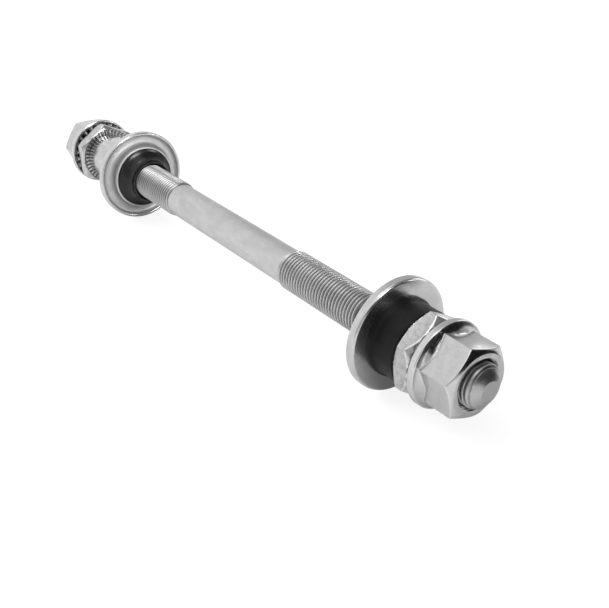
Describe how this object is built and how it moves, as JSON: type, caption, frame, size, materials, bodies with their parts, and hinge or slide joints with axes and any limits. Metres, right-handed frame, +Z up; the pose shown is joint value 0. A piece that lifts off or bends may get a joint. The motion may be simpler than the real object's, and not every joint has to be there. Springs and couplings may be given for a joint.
{
  "type": "rear hub axle",
  "caption": "Solid threaded rear hub axle for a bicycle with bearing cones, dust caps, a spacer, toothed lock nuts and serrated flange nuts.",
  "frame": {"origin": "middle of the axle, on its axis", "axes": "+X along the axle towards its left end, the end without the spacer; +Z up"},
  "size_m": [0.18, 0.026, 0.026],
  "materials": {
    "axle_steel": "zinc plated steel rod, satin, with rolled threads",
    "nut_steel": "zinc plated steel, satin with slightly mottled flats",
    "cone_steel": "hardened steel, blackened, with a polished race",
    "cap_steel": "pressed steel, nickel plated, smooth",
    "spacer_steel": "turned steel tube, nickel plated, bright"
  },
  "bodies": {
    "axle": {"axle": "axle_steel"},
    "left_flange_nut": {"left_flange_nut": "nut_steel"},
    "left_lock_nut": {"left_lock_nut": "nut_steel"},
    "left_cone": {"left_cone": "cone_steel", "left_dust_cap": "cap_steel"},
    "right_cone": {"right_cone": "cone_steel", "right_dust_cap": "cap_steel"},
    "right_spacer": {"right_spacer": "spacer_steel"},
    "right_lock_nut": {"right_lock_nut": "nut_steel"},
    "right_flange_nut": {"right_flange_nut": "nut_steel"}
  },
  "joints": [
    {"name": "left_flange_nut_turn", "type": "hinge", "parent": "axle", "child": "left_flange_nut", "pos_m": [0.0818, 0, 0], "axis": [1, 0, 0], "continuous": true},
    {"name": "left_lock_nut_turn", "type": "hinge", "parent": "axle", "child": "left_lock_nut", "pos_m": [0.07415, 0, 0], "axis": [1, 0, 0], "continuous": true},
    {"name": "left_cone_turn", "type": "hinge", "parent": "axle", "child": "left_cone", "pos_m": [0.0639, 0, 0], "axis": [1, 0, 0], "continuous": true},
    {"name": "right_cone_turn", "type": "hinge", "parent": "axle", "child": "right_cone", "pos_m": [-0.05135, 0, 0], "axis": [1, 0, 0], "continuous": true},
    {"name": "right_spacer_turn", "type": "hinge", "parent": "axle", "child": "right_spacer", "pos_m": [-0.0654, 0, 0], "axis": [1, 0, 0], "continuous": true},
    {"name": "right_lock_nut_turn", "type": "hinge", "parent": "axle", "child": "right_lock_nut", "pos_m": [-0.07365, 0, 0], "axis": [1, 0, 0], "continuous": true},
    {"name": "right_flange_nut_turn", "type": "hinge", "parent": "axle", "child": "right_flange_nut", "pos_m": [-0.0813, 0, 0], "axis": [1, 0, 0], "continuous": true}
  ]
}
